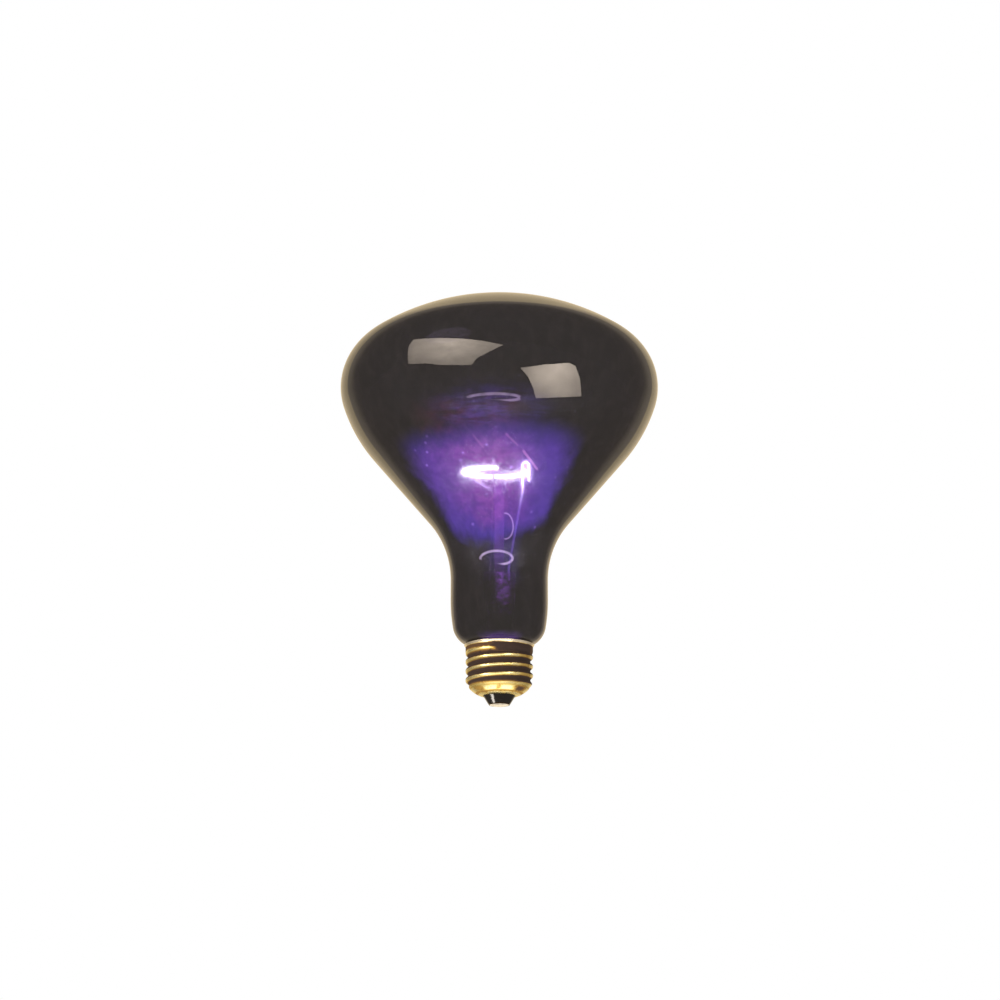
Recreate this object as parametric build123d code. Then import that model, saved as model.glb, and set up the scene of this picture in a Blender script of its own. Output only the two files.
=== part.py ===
from build123d import *
from math import acos, asin, atan2, cos, degrees, hypot, pi, radians, sin, sqrt
import os

# Reflector lamp with a coloured glass bulb, a lit coil on a glass mount and a medium screw base
# Millimetres, Z along the lamp's axis, the tip of the centre contact at zero, the dome on top

# Overall size of the lamp
overall_length = 164.0
bulb_diameter = 127.0

# Bulb outline, walked from the middle of the dome down to the seal
glass_wall = 0.95
crown_angle = 90.0  # the outward normal points straight up in the middle of the dome
face_radius = 94.0
shoulder_radius = 22.7
flank_radius = 61.4
flank_start_angle = -18.3  # angle of the outward normal above the horizontal, in degrees
cone_angle = 40.3  # slope of the straight cone from the axis
neck_blend_radius = 37.3
neck_radius = 19.1
heel_height = 41.5  # where the neck starts to close
heel_soft_radius = 60.0
heel_soft_angle = 10.3
heel_radius = 8.7
heel_angle = 54.7
throat_blend_radius = 2.0
throat_length = 0.2
seal_blend_radius = 4.0
seal_radius = 11.0
seal_bottom = 13.9

# Stem: flared tube, flat press, exhaust tube and arbor with its button
flare_wall = 1.0
flare_tube_radius = 5.6
flare_rim_lift = 0.4  # how far the rim sits above the end of the bulb's neck
pinch_bottom = 36.0
pinch_top = 40.5
press_bottom = 42.0
press_top = 53.0
press_width = 12.4
press_thickness = 4.8
press_corner = 1.6
slot_width = 9.6
slot_thickness = 2.4
exhaust_radius = 1.8
exhaust_bore = 1.0
exhaust_top = 43.0
exhaust_tip = 9.2
blow_hole_height = 44.4
arbor_radius = 1.8
arbor_seat = 48.5
button_radius = 2.9
button_bottom = 85.6
button_top = 89.1
button_round = 1.5

# Coil: a ring left open at the front, held by two clamped leads and three loops
coil_radius = 0.75  # outside of the coiled wire
coil_ring_radius = 12.4
coil_ring_offset = -1.9  # the ring's centre lies to the left of the axis
coil_height = 94.2
coil_tilt_angle = 7.0  # the ring's front hangs lower than its back
coil_start_angle = 0.0
coil_end_angle = 268.0
coil_end_length = 1.6  # straight end past each clamp

# Wires
lead_x = 3.7
inner_lead_radius = 0.4
inner_lead_seat = 49.5
clamp_clearance = 0.1
clamp_rise = 2.8  # straight leg of the clamp above the coil
clamp_tail = 3.6  # free leg of the clamp below the coil
clamp_knee = 86.7
lead_bend = 2.0
seal_wire_radius = 0.2
outer_lead_radius = 0.25
outer_lead_top = 44.6
side_lead_radius = 0.2
side_lead_dip = 1.5  # how far the side lead passes below the glass seal
side_lead_gap = 0.5  # its distance outside the seal
throat_gap = 0.35  # and outside the throat
side_lead_bend = 0.3
support_radius = 0.2
support_angles = (67.0, 134.0, 201.0)
support_height = 87.4
support_seat = 1.0
support_reach = 4.6
support_loop_angle = 300.0
support_clearance = 0.1

# Screw shell: rolled sheet with a right-handed thread of equal round crests and roots
shell_wall = 0.3
crest_radius = 13.15
thread_depth = 1.05
thread_pitch = 3.629
thread_phase = 8.1  # height of a crest above the front's right, at angle zero
thread_start = (6.4, 8.8)  # the thread grows out of the cup between these heights
thread_end = (18.6, 21.4)  # and runs out into the plain collar between these
cup_radius = 9.5
cup_centre = (4.5, 13.1)
cup_opening = 6.35
lip_start = 22.7
lip_radius = 1.4
shell_top = 23.8
sector_count = 4
sections_per_sector = 7
cup_steps = 9
wall_steps = 38
lip_steps = 4

# Insulator, contact and solder at the foot
insulator_clearance = 0.1
insulator_foot = 0.6
insulator_foot_radius = 4.25
insulator_waist = 3.6
insulator_top = 6.4
funnel_width = 0.8  # the hole for the lead widens inside by this
funnel_depth = 1.6
contact_radius = 4.0
contact_thickness = 0.35
eyelet_radius = 1.3
eyelet_bore = 0.9
eyelet_height = 3.0
solder_radius = 3.75
solder_flat_radius = 2.7
solder_plug_top = 1.6
centre_lead_end = 0.5
side_solder_radius = 1.0

# Cement ring between the glass and the shell
cement_clearance = 0.02
cement_top = 22.9
cement_bottom = 19.2
cement_inner = 10.5
cement_gap = 0.1  # room beside the thread as it fades into the collar
cement_steps = 4

os.makedirs("parts", exist_ok=True)


def save(shape, name):
    export_step(shape, f"parts/{name}.step")


# Bulb

bulb_radius = bulb_diameter / 2
shoulder_centre = bulb_radius - shoulder_radius
shoulder_start_angle = degrees(acos(shoulder_centre / (face_radius - shoulder_radius)))
face_centre_z = overall_length - face_radius
shoulder_centre_z = face_centre_z + (face_radius - shoulder_radius) * sin(radians(shoulder_start_angle))
flank_step = shoulder_radius - flank_radius
flank_centre = shoulder_centre + flank_step * cos(radians(flank_start_angle))
flank_centre_z = shoulder_centre_z + flank_step * sin(radians(flank_start_angle))
cone_top = flank_centre + flank_radius * cos(radians(cone_angle))
cone_top_z = flank_centre_z - flank_radius * sin(radians(cone_angle))
cone_foot = neck_radius + neck_blend_radius * (1 - cos(radians(cone_angle)))
cone_length = (cone_top - cone_foot) / sin(radians(cone_angle))
cone_foot_z = cone_top_z - cone_length * cos(radians(cone_angle))
neck_top = cone_foot_z - neck_blend_radius * sin(radians(cone_angle))

heel_end_angle = heel_soft_angle + heel_angle
heel_step = heel_soft_radius - heel_radius
heel_centre = neck_radius - heel_soft_radius + heel_step * cos(radians(heel_soft_angle))
heel_centre_z = heel_height - heel_step * sin(radians(heel_soft_angle))
throat_top = heel_centre_z - (heel_radius + throat_blend_radius) * sin(radians(heel_end_angle))
throat_centre = heel_centre + (heel_radius + throat_blend_radius) * cos(radians(heel_end_angle))
throat_radius = throat_centre - throat_blend_radius
seal_turn_angle = degrees(acos(1 - (throat_radius - seal_radius) / (2 * seal_blend_radius)))
seal_top = throat_top - throat_length - 2 * seal_blend_radius * sin(radians(seal_turn_angle))

# Each bend has its radius and its turn, to the left when positive; a straight has its length
bulb_walk = (
    (face_radius, shoulder_start_angle - crown_angle),
    (shoulder_radius, flank_start_angle - shoulder_start_angle),
    (flank_radius, -cone_angle - flank_start_angle),
    (cone_length, 0),
    (neck_blend_radius, cone_angle),
    (neck_top - heel_height, 0),
    (heel_soft_radius, -heel_soft_angle),
    (heel_radius, -heel_angle),
    (throat_blend_radius, heel_end_angle),
    (throat_length, 0),
    (seal_blend_radius, -seal_turn_angle),
    (seal_blend_radius, seal_turn_angle),
    (seal_top - seal_bottom, 0),
)


def bulb_line(inset):
    # Edges of the bulb's outline, moved inwards by the inset
    edges = []
    point = Vector(0, 0, overall_length - inset)
    heading = 0.0
    for size, turn in bulb_walk:
        along = Vector(cos(radians(heading)), 0, sin(radians(heading)))
        if turn == 0:
            end = point + along * size
            edges.append(Edge.make_line(point, end))
        else:
            side = 1 if turn > 0 else -1
            radius = size + side * inset
            left = Vector(-along.Z, 0, along.X) * side
            centre = point + left * radius
            swing = [radians(heading + part * turn) for part in (0.5, 1.0)]
            middle, end = [centre + Vector(sin(a), 0, -cos(a)) * radius * side for a in swing]
            edges.append(Edge.make_three_point_arc(point, middle, end))
        point = end
        heading += turn
    return edges, point


def turned(edges):
    # Solid of revolution from a closed outline in the plane of X and Z
    return revolve(Face(Wire(edges)), Axis.Z)


def glass_envelope():
    outer, outer_end = bulb_line(0)
    inner, inner_end = bulb_line(glass_wall)
    middle = (outer_end + inner_end) / 2 - Vector(0, 0, glass_wall / 2)
    seal_edge = Edge.make_three_point_arc(outer_end, middle, inner_end)
    crown = Edge.make_line((0, 0, overall_length - glass_wall), (0, 0, overall_length))
    return turned(outer + [seal_edge] + inner + [crown])


def bulb_outside():
    # The bulb as if it were solid glass, for cutting what is packed around its neck
    outer, outer_end = bulb_line(0)
    foot = Edge.make_line(outer_end, (0, 0, outer_end.Z))
    axis = Edge.make_line((0, 0, outer_end.Z), (0, 0, overall_length))
    return turned(outer + [foot, axis])


# Stem

land_radius = seal_radius - glass_wall
flare_bottom = seal_bottom + flare_rim_lift
flare_bend = land_radius - flare_tube_radius
flare_bend_top = flare_bottom + flare_wall + flare_bend


def rod(radius, bottom, top, x=0.0, y=0.0):
    return Pos(x, y, bottom) * Cylinder(radius, top - bottom, align=(Align.CENTER, Align.CENTER, Align.MIN))


def flare_body():
    # Flared rim and tube as one turned wall
    inner_radius = flare_tube_radius - flare_wall
    bend = sqrt(0.5)
    centre = Vector(land_radius, 0, flare_bend_top)
    far = Vector(-bend, 0, -bend)
    inner_bend = flare_bend + flare_wall
    edges = [
        Edge.make_line((land_radius, 0, flare_bottom), (land_radius, 0, flare_bottom + flare_wall)),
        Edge.make_three_point_arc(
            Vector(land_radius, 0, flare_bottom + flare_wall),
            centre + far * flare_bend,
            Vector(flare_tube_radius, 0, flare_bend_top),
        ),
        Edge.make_line((flare_tube_radius, 0, flare_bend_top), (flare_tube_radius, 0, pinch_bottom)),
        Edge.make_line((flare_tube_radius, 0, pinch_bottom), (inner_radius, 0, pinch_bottom)),
        Edge.make_line((inner_radius, 0, pinch_bottom), (inner_radius, 0, flare_bend_top)),
        Edge.make_three_point_arc(
            Vector(inner_radius, 0, flare_bend_top),
            centre + far * inner_bend,
            Vector(land_radius, 0, flare_bottom),
        ),
    ]
    return turned(edges)


def pinch(radius, width, thickness, corner, top):
    # Loft from the round tube to the flat press
    foot = Pos(0, 0, pinch_bottom) * Circle(radius)
    head = Pos(0, 0, top) * RectangleRounded(width, thickness, corner)
    return loft(Sketch() + [foot, head])


def stem_press():
    # Flat head of the stem, pinched while the glass was soft
    block = Pos(0, 0, press_bottom) * extrude(
        RectangleRounded(press_width, press_thickness, press_corner), press_top - press_bottom
    )
    top_edges = block.edges().group_by(Axis.Z)[-1]
    return fillet(top_edges, press_corner / 2)


def stem_flare(channels):
    outside = pinch(flare_tube_radius, press_width, press_thickness, press_corner, press_bottom)
    cavity = pinch(
        flare_tube_radius - flare_wall, slot_width, slot_thickness, slot_thickness / 2 - 0.05, pinch_top
    )
    blow_hole = rod(exhaust_bore, exhaust_top - 0.5, blow_hole_height)
    side_hole = Pos(0, 0, blow_hole_height) * Rot(-90, 0, 0) * Cylinder(
        exhaust_bore, press_thickness, align=(Align.CENTER, Align.CENTER, Align.MIN)
    )
    shape = flare_body() + (outside - cavity) + stem_press()
    shape -= rod(exhaust_radius, pinch_bottom - 1, exhaust_top)
    shape -= rod(arbor_radius, arbor_seat, press_top + 1)
    shape -= blow_hole
    shape -= side_hole
    for channel in channels:
        shape -= channel
    return shape


def exhaust_tube():
    # Open at the top, drawn off and closed at the tip
    tip_centre = exhaust_tip + exhaust_radius
    outside = rod(exhaust_radius, tip_centre, exhaust_top)
    outside += Pos(0, 0, tip_centre) * Sphere(exhaust_radius)
    bore = rod(exhaust_bore, tip_centre, exhaust_top)
    bore += Pos(0, 0, tip_centre) * Sphere(exhaust_bore)
    return outside - bore


def arbor_rod(channels):
    shape = rod(arbor_radius, arbor_seat, button_bottom + button_round)
    button = rod(button_radius, button_bottom, button_top)
    shape += fillet(button.edges().filter_by(GeomType.CIRCLE), button_round)
    for channel in channels:
        shape -= channel
    return shape


# Coil and its leads

ring_centre = Vector(coil_ring_offset, 0, coil_height)
ring_back = Vector(0, cos(radians(coil_tilt_angle)), sin(radians(coil_tilt_angle)))


def ring_point(angle, reach=0.0):
    across = Vector(cos(radians(angle)), 0, 0) + ring_back * sin(radians(angle))
    return ring_centre + across * (coil_ring_radius + reach)


def wire_along(edges, radius):
    # Round wire swept along joined edges
    path = Wire(edges)
    start = Plane(origin=path @ 0, z_dir=path % 0)
    return sweep(start * Circle(radius), path=path)


def filament():
    start = ring_point(coil_start_angle)
    end = ring_point(coil_end_angle)
    middle = ring_point((coil_start_angle + coil_end_angle) / 2)
    ring = Edge.make_three_point_arc(start, middle, end)
    first = Edge.make_line(start - (ring % 0) * coil_end_length, start)
    last = Edge.make_line(end, end + (ring % 1) * coil_end_length)
    return wire_along([first, ring, last], coil_radius)


def inner_lead(side, angle):
    # Stiff lead from the press up to a hook that clamps one end of the coil
    reach = coil_radius + clamp_clearance + inner_lead_radius
    near = ring_point(angle, -reach)
    far = ring_point(angle, reach)
    rise = Vector(0, 0, clamp_rise)
    knee = Vector(near.X, near.Y, clamp_knee)
    seat = Vector(side * lead_x, 0, inner_lead_seat)
    collar = Vector(side * lead_x, 0, press_top + lead_bend)
    shank = FilletPolyline(seat, collar, knee, near + rise, radius=lead_bend)
    crown = Edge.make_three_point_arc(near + rise, ring_point(angle) + rise + Vector(0, 0, reach), far + rise)
    tail = Edge.make_line(far + rise, far - Vector(0, 0, clamp_tail))
    return wire_along(shank.edges() + [crown, tail], inner_lead_radius)


def support_wire(angle):
    # Thin wire set in the button, ending in an open loop around the coil
    target = ring_point(angle)
    outward = Vector(target.X, target.Y, 0)
    plane = Plane(origin=(0, 0, 0), x_dir=outward, z_dir=outward.cross(Vector(0, 0, 1)))
    loop_radius = coil_radius + support_clearance + support_radius
    run = outward.length - support_reach
    climb = target.Z - support_height
    slant = hypot(run, climb)
    heading = atan2(climb, run) - asin(loop_radius / slant)
    straight = sqrt(slant**2 - loop_radius**2)
    corner = Vector(support_reach, support_height)
    along = Vector(cos(heading), sin(heading))
    touch = corner + along * straight
    with BuildLine(plane) as path:
        FilletPolyline((support_seat, support_height), (corner.X, corner.Y), (touch.X, touch.Y), radius=1.0)
        JernArc((touch.X, touch.Y), (along.X, along.Y), loop_radius, support_loop_angle)
    return wire_along(path.edges(), support_radius)


# Lead wires below the press

def seal_wire(side):
    return rod(seal_wire_radius, outer_lead_top, inner_lead_seat, side * lead_x)


def outer_lead_centre():
    # From the press down past the exhaust tip to the centre contact
    knee = exhaust_tip + exhaust_radius
    points = (
        (-lead_x, 0, outer_lead_top),
        (-lead_x, 0, knee),
        (0, 0, insulator_top - 0.4),
        (0, 0, centre_lead_end),
    )
    return wire_along(FilletPolyline(*points, radius=1.0).edges(), outer_lead_radius)


def outer_lead_side():
    # From the press under the glass seal, then up between glass and shell to the rim at the back
    under_seal = seal_bottom - side_lead_dip
    beside_seal = seal_radius + side_lead_gap
    beside_throat = throat_radius + throat_gap
    points = (
        (lead_x, 0, outer_lead_top),
        (lead_x, 0, seal_bottom + 4),
        (1.0, 6.5, under_seal),
        (0, beside_seal, under_seal),
        (0, beside_seal, seal_top - 0.3),
        (0, beside_throat, throat_top - 1.0),
        (0, beside_throat, throat_top + 0.2),
        (0, throat_radius + 0.95, shell_top + 0.2),
        (0, crest_radius + 0.9, shell_top + 0.25),
    )
    return wire_along(FilletPolyline(*points, radius=side_lead_bend).edges(), side_lead_radius)


# Screw shell

def ease(value, start, end):
    # Smooth rise from nought to one
    part = min(max((value - start) / (end - start), 0), 1)
    return part * part * (3 - 2 * part)


def groove(height, angle):
    # Depth below the crests of a thread made of equal round crests and roots
    bend = (thread_pitch**2 / 16 + thread_depth**2 / 4) / thread_depth
    offset = (height - thread_phase) / thread_pitch - angle / (2 * pi)
    away = abs(offset - round(offset)) * thread_pitch
    if away < thread_pitch / 4:
        return bend - sqrt(bend**2 - away**2)
    return thread_depth - bend + sqrt(bend**2 - (thread_pitch / 2 - away) ** 2)


def shell_outline():
    # Points of the plain outline from the cup's opening up to the lip, before the thread
    centre_r, centre_z = cup_centre
    first = asin((cup_opening - centre_r) / cup_radius)
    last = asin((crest_radius - centre_r) / cup_radius)
    points = []
    for step in range(cup_steps):
        swing = first + (last - first) * step / cup_steps
        points.append((centre_r + cup_radius * sin(swing), centre_z - cup_radius * cos(swing)))
    wall_foot = centre_z - cup_radius * cos(last)
    for step in range(wall_steps + 1):
        points.append((crest_radius, wall_foot + (lip_start - wall_foot) * step / wall_steps))
    for step in range(1, lip_steps + 1):
        rise = (shell_top - lip_start) * step / lip_steps
        points.append((crest_radius + lip_radius - sqrt(lip_radius**2 - rise**2), lip_start + rise))
    return points


def shell_section(angle):
    # Closed section of the rolled sheet in the half plane at one angle
    outer = []
    for radius, height in shell_outline():
        share = ease(height, *thread_start) * (1 - ease(height, *thread_end))
        outer.append((radius - share * groove(height, angle), height))
    inner = []
    last = len(outer) - 1
    for index, (radius, height) in enumerate(outer):
        before = outer[max(index - 1, 0)]
        after = outer[min(index + 1, last)]
        run, rise = after[0] - before[0], after[1] - before[1]
        length = hypot(run, rise)
        inner.append((radius - shell_wall * rise / length, height + shell_wall * run / length))
    spacing = [index / last for index in range(last + 1)]
    curves = []
    for line in (outer, inner):
        points = [Vector(r * cos(angle), r * sin(angle), z) for r, z in line]
        curves.append(Edge.make_spline(points, parameters=spacing))
    foot = Edge.make_line(curves[1] @ 0, curves[0] @ 0)
    lip = Edge.make_line(curves[0] @ 1, curves[1] @ 1)
    return Wire([curves[0], lip, curves[1], foot])


def screw_shell():
    # The wall is lofted through sections around the axis, one sector at a time
    sector = 2 * pi / sector_count
    shape = Part()
    for number in range(sector_count):
        angles = [sector * (number + step / (sections_per_sector - 1)) for step in range(sections_per_sector)]
        shape += Solid.make_loft([shell_section(angle) for angle in angles])
    return shape


# Insulator, contact and solder

def insulator():
    # Black glass moulded through the shell's opening, wider inside than the hole
    centre_r, centre_z = cup_centre
    inner_cup = cup_radius - shell_wall - insulator_clearance
    neck = cup_opening - 2 * insulator_clearance
    neck_z = centre_z - sqrt(inner_cup**2 - (neck - centre_r) ** 2)
    top_r = centre_r + sqrt(inner_cup**2 - (centre_z - insulator_top) ** 2)
    neck_swing = atan2(neck - centre_r, centre_z - neck_z)
    top_swing = atan2(top_r - centre_r, centre_z - insulator_top)
    swing = (neck_swing + top_swing) / 2
    middle = (centre_r + inner_cup * sin(swing), 0, centre_z - inner_cup * cos(swing))
    corners = [
        (top_r, 0, insulator_top),
        (eyelet_radius + funnel_width, 0, insulator_top),
        (eyelet_radius, 0, insulator_top - funnel_depth),
        (eyelet_radius, 0, insulator_foot),
        (insulator_foot_radius, 0, insulator_foot),
        (neck - 0.05, 0, insulator_waist),
        (neck, 0, neck_z),
    ]
    edges = [Edge.make_line(a, b) for a, b in zip(corners, corners[1:])]
    edges.append(Edge.make_three_point_arc(corners[-1], middle, corners[0]))
    return turned(edges)


def centre_contact():
    # Brass eyelet with a flat flange under the insulator
    shape = rod(contact_radius, insulator_foot - contact_thickness, insulator_foot)
    shape += rod(eyelet_radius, insulator_foot, eyelet_height)
    return shape - rod(eyelet_bore, insulator_foot - contact_thickness, eyelet_height)


def centre_solder():
    # Low cap on the contact with a flat tip, and a plug around the lead in the eyelet
    cap_top = insulator_foot - contact_thickness
    shape = Pos(0, 0, cap_top / 2) * Cone(solder_flat_radius, solder_radius, cap_top)
    shape += rod(eyelet_bore, cap_top, solder_plug_top)
    return shape - outer_lead_centre()


def side_solder(shell, lead):
    # Drop of solder that joins the side lead to the outside of the lip
    drop = Pos(0, crest_radius + 0.75, shell_top - 0.1) * Sphere(side_solder_radius)
    return drop - shell - bulb_outside() - lead


def basing_cement(lead):
    # Ring that holds the glass in the collar
    collar_inner = crest_radius - shell_wall - cement_clearance
    corners = [(cement_inner, 0, cement_bottom)]
    for step in range(cement_steps):
        height = cement_bottom + (thread_end[1] - cement_bottom) * step / cement_steps
        depth = thread_depth * (1 - ease(height, *thread_end))
        corners.append((crest_radius - depth - shell_wall - cement_gap, 0, height))
    corners.append((collar_inner, 0, thread_end[1]))
    corners.append((collar_inner, 0, cement_top))
    corners.append((cement_inner, 0, cement_top))
    corners.append(corners[0])
    edges = [Edge.make_line(a, b) for a, b in zip(corners, corners[1:])]
    return turned(edges) - bulb_outside() - lead


# Build every piece once, with the wires cut out of the glass that holds them

lead_right = inner_lead(1, coil_start_angle)
lead_left = inner_lead(-1, coil_end_angle)
seal_right = seal_wire(1)
seal_left = seal_wire(-1)
outer_centre = outer_lead_centre()
outer_side = outer_lead_side()
supports = [support_wire(angle) for angle in support_angles]
shell = screw_shell()

save(glass_envelope(), "glass_envelope")
save(stem_flare([lead_right, lead_left, seal_right, seal_left, outer_centre, outer_side]), "stem_flare")
save(exhaust_tube(), "exhaust_tube")
save(arbor_rod(supports), "arbor_rod")
save(filament(), "filament")
save(lead_right, "inner_lead_right")
save(lead_left, "inner_lead_left")
save(seal_right, "seal_wire_right")
save(seal_left, "seal_wire_left")
save(outer_centre, "outer_lead_centre")
save(outer_side, "outer_lead_side")
for number, support in enumerate(supports, start=1):
    save(support, f"support_wire_{number}")
save(shell, "screw_shell")
save(insulator(), "insulator")
save(centre_contact(), "centre_contact")
save(centre_solder(), "centre_solder")
save(side_solder(shell, outer_side), "side_solder")
save(basing_cement(outer_side), "basing_cement")
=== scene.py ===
import math
from functools import partial

import bpy
from bpy.props import FloatProperty, FloatVectorProperty, IntProperty, PointerProperty
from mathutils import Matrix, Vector


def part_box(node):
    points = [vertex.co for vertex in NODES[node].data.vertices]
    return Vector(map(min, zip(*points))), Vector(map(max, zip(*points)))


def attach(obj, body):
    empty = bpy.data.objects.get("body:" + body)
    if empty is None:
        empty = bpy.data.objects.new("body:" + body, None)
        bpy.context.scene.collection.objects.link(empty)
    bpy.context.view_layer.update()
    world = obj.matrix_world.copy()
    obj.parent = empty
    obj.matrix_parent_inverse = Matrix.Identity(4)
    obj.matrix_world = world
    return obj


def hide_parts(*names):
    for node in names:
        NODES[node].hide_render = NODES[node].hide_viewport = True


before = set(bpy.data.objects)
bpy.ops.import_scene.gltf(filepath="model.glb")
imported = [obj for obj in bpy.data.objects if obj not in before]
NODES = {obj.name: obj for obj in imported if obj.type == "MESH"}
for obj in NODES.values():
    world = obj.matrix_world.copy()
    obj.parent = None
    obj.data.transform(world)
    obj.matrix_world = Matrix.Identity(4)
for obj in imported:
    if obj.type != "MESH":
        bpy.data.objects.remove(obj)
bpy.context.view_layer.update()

bl_info = {
    "name": "Reflector lamp",
    "version": (1, 0, 0),
    "blender": (4, 5, 0),
    "location": "3D View > Sidebar > Lamp",
    "description": "Builds a lit reflector lamp with a violet glass bulb and a rolled screw base",
    "category": "Object",
}

MM = 0.001

# How finely the new pieces are divided
STRAIGHT_STEP = 4 * MM
BEND_STEP = math.radians(2.4)
POINTS_PER_TURN = 16
WIRE_SIDES = 6
CUP_STEPS, WALL_STEPS, LIP_STEPS = 30, 96, 8


# Sizes and colours that a user would change


def length(name, description, millimetres):
    return FloatProperty(
        name=name, description=description, default=millimetres * MM, unit="LENGTH", precision=5
    )


def turn(name, description, degrees):
    return FloatProperty(name=name, description=description, default=math.radians(degrees), subtype="ANGLE")


class LampBulbSizes(bpy.types.PropertyGroup):
    """Outline of the blown bulb, as arcs that run into each other."""

    overall: length("Overall length", "From the contact's tip to the middle of the dome", 164.0)
    bulb_radius: length("Bulb radius", "Half the widest part of the bulb", 63.5)
    wall: length("Glass wall", "Thickness of the blown glass", 0.95)
    face: length("Face radius", "Radius of the nearly flat dome", 94.0)
    shoulder: length("Shoulder radius", "Radius of the turn from the dome to the widest part", 22.7)
    flank: length("Flank radius", "Radius of the curve from the widest part to the cone", 61.4)
    flank_start: turn("Flank start", "Slope at which the shoulder becomes the flank", -18.3)
    cone_slope: turn("Cone slope", "Slope of the straight cone from the axis", 40.3)
    neck_blend: length("Neck blend", "Radius of the hollow curve from cone to neck", 37.3)
    neck: length("Neck radius", "Radius of the straight neck", 19.1)
    heel_height: length("Heel height", "Height at which the neck starts to close", 41.5)
    heel_soft: length("Soft heel radius", "Radius of the gentle start of the heel", 60.0)
    heel_soft_turn: turn("Soft heel turn", "How far the gentle start turns", 10.3)
    heel: length("Heel radius", "Radius of the heel above the base", 8.7)
    heel_turn: turn("Heel turn", "How far the heel turns", 54.7)
    throat: length("Throat radius", "Radius of the bend into the base", 2.0)
    throat_run: length("Throat run", "Straight part inside the base", 0.2)
    seal_blend: length("Seal blend", "Radius of the step down to the seal", 4.0)
    seal: length("Seal radius", "Radius of the tube that is sealed to the stem", 11.0)
    seal_bottom: length("Seal bottom", "Height of the seal's lower edge", 13.9)
    segments: IntProperty(name="Segments", description="Facets around the axis", default=192, min=24)


class LampCoilSizes(bpy.types.PropertyGroup):
    """The lit coil, an open ring of coiled wire."""

    ring: length("Ring radius", "Radius of the ring that the coil follows", 12.4)
    offset: length("Ring offset", "How far the ring's centre lies from the axis", -1.9)
    height: length("Ring height", "Height of the ring above the contact's tip", 94.2)
    start: turn("Start angle", "Where the right lead clamps the coil", 0.0)
    end: turn("End angle", "Where the left lead clamps the coil", 268.0)
    leg: length("Free end", "Length of coil past each clamp", 1.6)
    tilt: turn("Ring tilt", "How far the ring's front hangs below its back", 7.0)
    coil: length("Coil radius", "Outside radius of the coiled wire", 0.75)
    wire: length("Wire radius", "Radius of the tungsten wire", 0.2)
    pitch: length("Coil pitch", "Distance from turn to turn", 0.55)


class LampShellSizes(bpy.types.PropertyGroup):
    """The rolled screw shell."""

    sheet: length("Sheet", "Thickness of the brass sheet", 0.3)
    crest: length("Crest radius", "Radius over the thread's crests", 13.15)
    depth: length("Thread depth", "Depth from crest to root", 1.05)
    pitch: length("Thread pitch", "Rise of the thread in one turn", 3.629)
    phase: length("Thread phase", "Height of a crest above the front's right", 8.1)
    start_low: length("Thread start, low", "Where the thread begins to grow", 6.4)
    start_high: length("Thread start, high", "Where the thread is at full depth", 8.8)
    end_low: length("Thread end, low", "Where the thread begins to fade", 18.6)
    end_high: length("Thread end, high", "Where the collar is plain", 21.4)
    cup: length("Cup radius", "Radius of the rounded foot", 9.5)
    cup_out: length("Cup centre, outwards", "Distance of the cup's centre from the axis", 4.5)
    cup_up: length("Cup centre, up", "Height of the cup's centre", 13.1)
    opening: length("Opening", "Radius of the hole for the insulator", 6.35)
    lip_low: length("Lip start", "Height at which the collar opens", 22.7)
    lip: length("Lip radius", "Radius of the opening lip", 1.4)
    top: length("Shell top", "Height of the lip's edge", 23.8)
    segments: IntProperty(name="Segments", description="Facets around the axis", default=160, min=24)


class LampStudio(bpy.types.PropertyGroup):
    """Camera, floor and light."""

    lens: FloatProperty(
        name="Lens", description="Focal length for a 36 mm wide frame", default=90.86, unit="CAMERA"
    )
    camera: FloatVectorProperty(
        name="Camera", description="Place of the camera", default=(0, -0.9673, -0.1724), subtype="TRANSLATION"
    )
    aim: FloatVectorProperty(
        name="Aim",
        description="Point that the camera looks at",
        default=(0, 0, 0.0814),
        subtype="TRANSLATION",
    )
    floor: length("Floor height", "Height of the paper floor, well below the hanging lamp", -900.0)


# Helpers that build nodes


def linear(code):
    """Linear colour of an sRGB hex code such as #a0b1c2."""
    parts = [int(code[i : i + 2], 16) / 255 for i in (1, 3, 5)]
    return tuple(p / 12.92 if p <= 0.04045 else ((p + 0.055) / 1.055) ** 2.4 for p in parts) + (1.0,)


# The kinds of node that come up most; a share is how far a value has gone from low to high
TIMES = "Math MULTIPLY"
TIMES_PLUS = "Math MULTIPLY_ADD"
MINUS = "Math SUBTRACT"
LARGEST = "Math MAXIMUM"
SHARE = "MapRange SMOOTHSTEP"
SCALED = "VectorMath MULTIPLY"


def fill(tree, socket, value):
    """Sets an input to a value, or links it to another node's output."""
    if isinstance(value, bpy.types.NodeSocket):
        tree.links.new(value, socket)
    else:
        socket.default_value = value


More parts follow.
